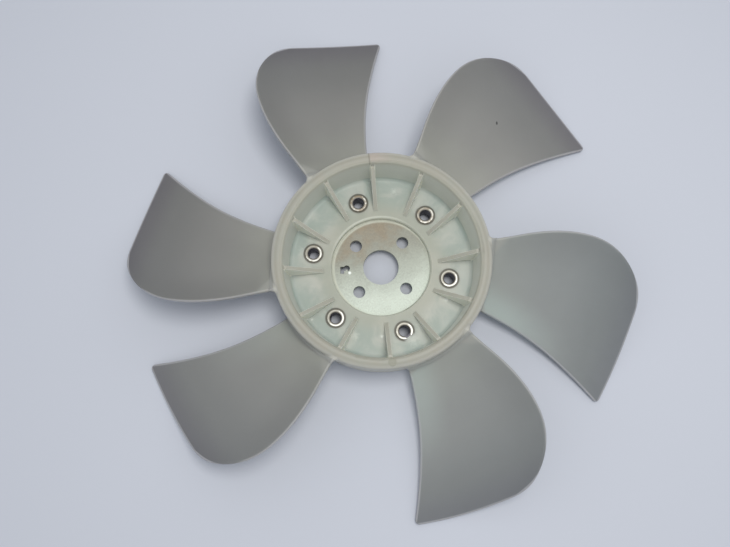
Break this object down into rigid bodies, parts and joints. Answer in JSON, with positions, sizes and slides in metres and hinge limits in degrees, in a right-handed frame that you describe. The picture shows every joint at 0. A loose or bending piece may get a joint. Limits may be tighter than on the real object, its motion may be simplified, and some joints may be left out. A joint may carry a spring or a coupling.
{
  "type": "axial fan impeller",
  "caption": "Plastic axial fan impeller with unevenly spaced swept blades, a deep ribbed hub ring and a riveted steel mounting plate.",
  "frame": {"origin": "centre of the bore, on the mounting plate's front face", "axes": "+Z along the fan's axis, out of the open ribbed side; +X and +Y in the plate's face"},
  "size_m": [0.3766, 0.378, 0.0576],
  "materials": {
    "moulding": "natural milky plastic, slightly translucent, satin",
    "plate": "galvanised, fine dull spangle",
    "rivets": "bright zinc plated, worn on the rolled rims"
  },
  "bodies": {
    "root": {"impeller": "moulding", "mounting_plate": "plate", "rivet_1": "rivets", "rivet_2": "rivets", "rivet_3": "rivets", "rivet_4": "rivets", "rivet_5": "rivets", "rivet_6": "rivets"}
  },
  "joints": []
}
